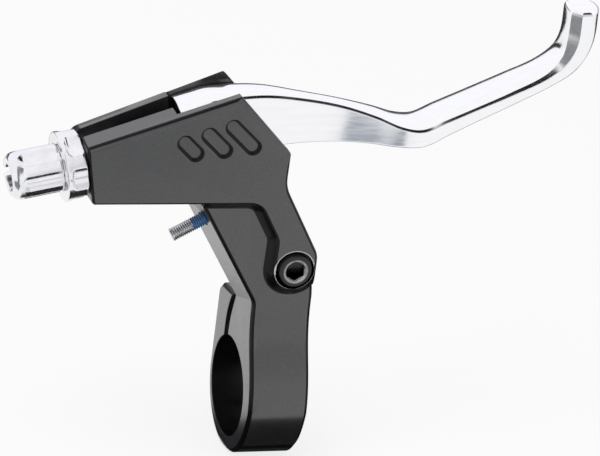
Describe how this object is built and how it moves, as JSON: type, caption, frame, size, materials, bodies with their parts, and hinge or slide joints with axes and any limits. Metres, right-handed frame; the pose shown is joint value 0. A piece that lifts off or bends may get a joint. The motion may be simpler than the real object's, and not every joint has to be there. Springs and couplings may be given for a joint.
{
  "type": "bicycle brake lever",
  "caption": "Right-hand flat-bar brake lever for linear-pull brakes: cast bracket with a split handlebar clamp, pivoting polished alloy lever, cable barrel adjuster and reach screw.",
  "frame": {"origin": "centre of the handlebar clamp's bore, at the middle of its width", "axes": "+X along the handlebar towards the blade's tip, +Z from the bar to the blade, -Y towards the front cheek with the recesses"},
  "size_m": [0.1309, 0.0292, 0.1061],
  "materials": {
    "black_paint": "satin black paint on cast alloy",
    "polished_alloy": "polished and anodised clear",
    "bright_alloy": "bright plated",
    "black_steel": "black oxide",
    "plated_steel": "zinc plated, with a blue locking patch on the reach screw's thread",
    "bush_plastic": "moulded bearing plastic"
  },
  "bodies": {
    "bracket": {"bracket": "black_paint", "pivot_bolt": "black_steel", "pivot_nut": "plated_steel", "clamp_bolt": "black_steel"},
    "lever": {"lever": "polished_alloy", "pivot_bush_front": "bush_plastic", "pivot_bush_rear": "bush_plastic"},
    "lock_ring": {"adjuster_lock_ring": "bright_alloy"},
    "adjuster": {"barrel_adjuster": "bright_alloy"},
    "reach_screw": {"reach_screw": "plated_steel"}
  },
  "joints": [
    {"name": "lever_pivot", "type": "hinge", "parent": "bracket", "child": "lever", "pos_m": [0.0012, -0.0047, 0.0332], "axis": [0, 1, 0], "range_deg": [0, 40]},
    {"name": "adjuster_turn", "type": "hinge", "parent": "bracket", "child": "lock_ring", "pos_m": [-0.04792, -0.0047, 0.05663], "axis": [-0.982, 0, -0.1891], "range_deg": [0, 2160]},
    {"name": "adjuster_travel", "type": "slide", "parent": "lock_ring", "child": "adjuster", "axis": [-0.982, 0, -0.1891], "range_m": [0, 0.006]},
    {"name": "reach_adjust", "type": "slide", "parent": "bracket", "child": "reach_screw", "axis": [-0.8746, 0, -0.4848], "range_m": [0, 0.003]}
  ],
  "couplings": [
    {"joint": "adjuster_travel", "follows": "adjuster_turn", "m_per_rad": 0.00015915}
  ]
}
